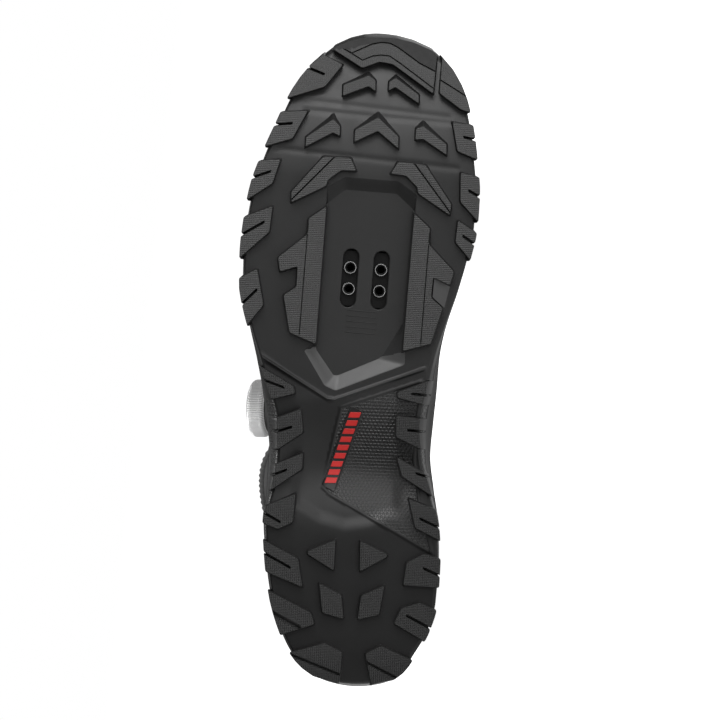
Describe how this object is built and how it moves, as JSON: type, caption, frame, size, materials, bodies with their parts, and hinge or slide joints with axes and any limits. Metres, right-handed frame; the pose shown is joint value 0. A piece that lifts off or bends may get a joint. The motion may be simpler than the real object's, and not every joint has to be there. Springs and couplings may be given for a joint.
{
  "type": "cycling shoe",
  "caption": "Right-foot trail cycling shoe with a lugged rubber sole, a recessed cleat pocket and a lace dial, lying on its inner side.",
  "frame": {"origin": "centre of the shoe's bounding box, on the floor that it lies on", "axes": "+X from heel to toe, +Y from the sole to the collar, +Z from the inner to the outer side; the sole faces -Y"},
  "size_m": [0.299, 0.1288, 0.1069],
  "materials": {
    "rubber": "matte",
    "midsole_foam": "matte",
    "nylon": "satin",
    "steel": "satin",
    "synthetic": "matte",
    "padding": "matte",
    "insole_fabric": "matte",
    "black_plastic": "satin",
    "silver_plastic": "gloss",
    "lace_cord": "satin"
  },
  "bodies": {
    "root": {"outsole": "rubber", "midsole": "midsole_foam", "cleat_plate": "nylon", "cleat_nut": "steel", "upper": "synthetic", "tongue": "padding", "insole": "insole_fabric", "dial_base": "black_plastic", "dial_knob": "silver_plastic", "lace": "lace_cord", "lace_guide_1": "black_plastic", "lace_guide_2": "black_plastic", "lace_guide_3": "black_plastic", "lace_guide_4": "black_plastic", "lace_guide_5": "black_plastic"}
  },
  "joints": []
}
